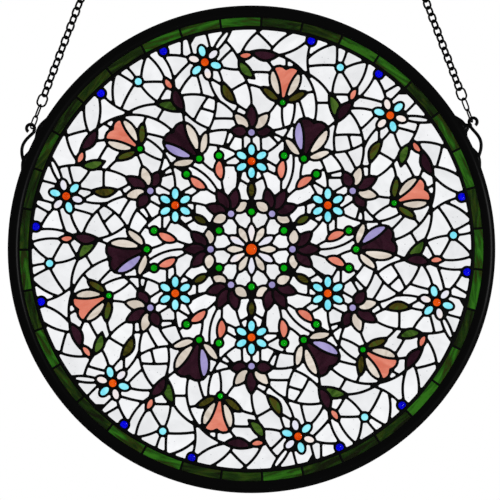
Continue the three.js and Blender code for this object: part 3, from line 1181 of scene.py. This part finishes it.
def seedy_glass(name, stops, streak, spread, seed):
    """Clear glass: the tone of each pane, with small dark seeds strewn through it."""
    material, tree, colour, grain = see_through(name, CLEAR_ROUGHNESS)
    tone = pane_tone(tree, grain, streak, spread)
    seeds = tree.nodes.new("ShaderNodeTexVoronoi")
    seeds.inputs["Scale"].default_value = SEED_SCALE
    tree.links.new(grain, seeds.inputs["Vector"])
    core, edge = SEED_REACH
    seed_stops = [(0.0, seed), (core, seed), (edge, (255, 255, 255))]
    shaded = tree.nodes.new("ShaderNodeVectorMath")
    shaded.operation = "MULTIPLY"
    tree.links.new(colour_ramp(tree, tone, stops), shaded.inputs[0])
    tree.links.new(colour_ramp(tree, seeds.outputs["Distance"], seed_stops), shaded.inputs[1])
    tree.links.new(shaded.outputs[0], colour)
    return material


def numbered(stem):
    return [f"{stem}_{k + 1}" for k in range(FOLD)]


# Colour stops, streaks along and across the grain, spread of tone between panes, roughness
GLASS_LOOKS = {
    "plum": ([(0.35, (30, 6, 18)), (0.65, (48, 18, 32))], (0.05, 0.12), 0.2, 0.1),
    "lilac": ([(0.3, (148, 138, 192)), (0.7, (172, 162, 214))], (0.04, 0.12), 0.2, 0.3),
    "cream": ([(0.3, (204, 192, 178)), (0.7, (234, 224, 212))], (0.04, 0.2), 0.3, 0.3),
    "salmon": ([(0.3, (212, 112, 90)), (0.7, (234, 144, 122))], (0.04, 0.12), 0.2, 0.3),
    "olive": ([(0.3, (38, 40, 4)), (0.5, (72, 62, 14)), (0.7, (58, 84, 22))], (0.06, 0.2), 0.3, 0.15),
    "leaf": ([(0.3, (30, 44, 8)), (0.5, (46, 80, 20)), (0.7, (74, 104, 36))], (0.06, 0.2), 0.3, 0.15),
    "aqua": ([(0.35, (116, 226, 246)), (0.65, (158, 246, 255))], (0.1, 0.1), 0.1, 0.15),
    "orange": ([(0.35, (206, 56, 2)), (0.65, (238, 92, 10))], (0.1, 0.1), 0.1, 0.05),
    "green": ([(0.35, (0, 134, 4)), (0.65, (0, 172, 12))], (0.1, 0.1), 0.1, 0.05),
    "blue": ([(0.35, (0, 0, 182)), (0.65, (0, 0, 230))], (0.1, 0.1), 0.1, 0.05),
    "pearl": ([(0.35, (246, 234, 228)), (0.65, (230, 230, 244))], (0.03, 0.08), 0.5, 0.3),
    "border": (
        [
            (0.26, (12, 16, 2)), (0.4, (16, 40, 4)), (0.5, (38, 46, 6)),
            (0.6, (24, 72, 10)), (0.74, (44, 104, 20)),
        ],
        (0.035, 0.22), 0.4, 0.12,
    ),
}
# The same for the clear glass, with the colour of its seeds in place of roughness
CLEAR_LOOK = ([(0.2, (229, 230, 232)), (0.8, (249, 250, 252))], (0.05, 0.05), 0.4, (180, 181, 184))
# The solids that the glass of a kind stands in for
REPLACED = {
    "clear": numbered("ground") + numbered("centre_ground"),
    "plum": numbered("palmette_inner") + numbered("palmette_outer") + numbered("tulip_plum"),
    "salmon": numbered("tulip_salmon"),
    "aqua": numbered("blossom"),
    "orange": ["centre_jewel"],
}


def make_glass(panes_by_kind):
    for kind, build in panes_by_kind.items():
        if kind == "clear":
            material = seedy_glass("clear_glass", *CLEAR_LOOK)
        else:
            material = glass(kind + "_glass", *GLASS_LOOKS[kind])
        build.piece(kind + "_panes", material, kind + "_glass", REPLACED.get(kind, ()))


# Floor, light and camera: places in metres, power in watts
FLOOR_HALF = 1.5
FLOOR_LEVEL = -0.8
FLOOR_GREY = 0.8
FLOOR_ROUGHNESS = 0.9
FLOOR_SHEEN = 0.5
KEY_PLACE = 1.2, -1.4, -0.3
KEY_SIZE = 0.6
KEY_POWER = 30
CAMERA_AWAY = 2.4

# The photo's width and the panel's middle in its pixels, then a pixel and the sensor in millimetres
PHOTO_WIDTH = 500
MIDDLE_ACROSS = 251.5
MIDDLE_DOWN = 249.3
PIXEL = 1.147
SENSOR = 36.0


def make_stage():
    sides = ((-1, -1), (1, -1), (1, 1), (-1, 1))
    corners = [(x * FLOOR_HALF, y * FLOOR_HALF, FLOOR_LEVEL) for x, y in sides]
    mesh = bpy.data.meshes.new("floor")
    mesh.from_pydata(corners, [], [(0, 1, 2, 3)])
    mesh.materials.append(opaque("floor_grey", FLOOR_GREY, FLOOR_ROUGHNESS, FLOOR_SHEEN))
    floor = bpy.data.objects.new("floor", mesh)
    bpy.context.scene.collection.objects.link(floor)


def make_light():
    world = bpy.data.worlds.new("studio")
    world.use_nodes = True
    background = world.node_tree.nodes["Background"]
    background.inputs["Color"].default_value = (1, 1, 1, 1)
    background.inputs["Strength"].default_value = 1.0
    bpy.context.scene.world = world
    bpy.context.scene.view_settings.view_transform = "Standard"
    data = bpy.data.lights.new("key", "AREA")
    data.size = KEY_SIZE
    data.energy = KEY_POWER
    key = bpy.data.objects.new("key", data)
    key.visible_transmission = False
    key.location = KEY_PLACE
    aim = Vector((0, 0, -PANEL_DROP * MM)) - Vector(KEY_PLACE)
    key.rotation_euler = aim.to_track_quat("-Z", "Y").to_euler()
    bpy.context.scene.collection.objects.link(key)


def make_camera():
    data = bpy.data.cameras.new("camera")
    data.sensor_width = SENSOR
    data.lens = SENSOR * CAMERA_AWAY / (PHOTO_WIDTH * PIXEL * MM)
    camera = bpy.data.objects.new("camera", data)
    x = (PHOTO_WIDTH / 2 - MIDDLE_ACROSS) * PIXEL * MM
    z = (MIDDLE_DOWN - PHOTO_WIDTH / 2) * PIXEL * MM - PANEL_DROP * MM
    camera.location = (x, -CAMERA_AWAY, z)
    camera.rotation_euler = (math.radians(90), 0, 0)
    bpy.context.scene.collection.objects.link(camera)
    bpy.context.scene.camera = camera


# Assembly
cartoon = draw_sixth()
grow_ground_lines(cartoon)
panes = lay_out_panes(cartoon)
for _ in range(CUT_ROUNDS):
    cut_large_panes(cartoon, panes)
    panes = lay_out_panes(cartoon)

rim_metal = metal("rim_metal", RIM_ROUGHNESS)
solder_metal = metal("solder", SOLDER_ROUGHNESS)
chain_metal = metal("chain_metal", CHAIN_ROUGHNESS)
panes_by_kind, solder = make_panes(panes)
add_border_solder(solder)
solder.piece("solder", solder_metal, "solder", ["solder_lattice"], sharp=60)
make_glass(panes_by_kind)
make_border(glass("border_glass", *GLASS_LOOKS["border"]))
make_rim(rim_metal)
for name, hanger in HANGERS.items():
    make_hanging(name, hanger, rim_metal, chain_metal)
make_stage()
make_light()
make_camera()
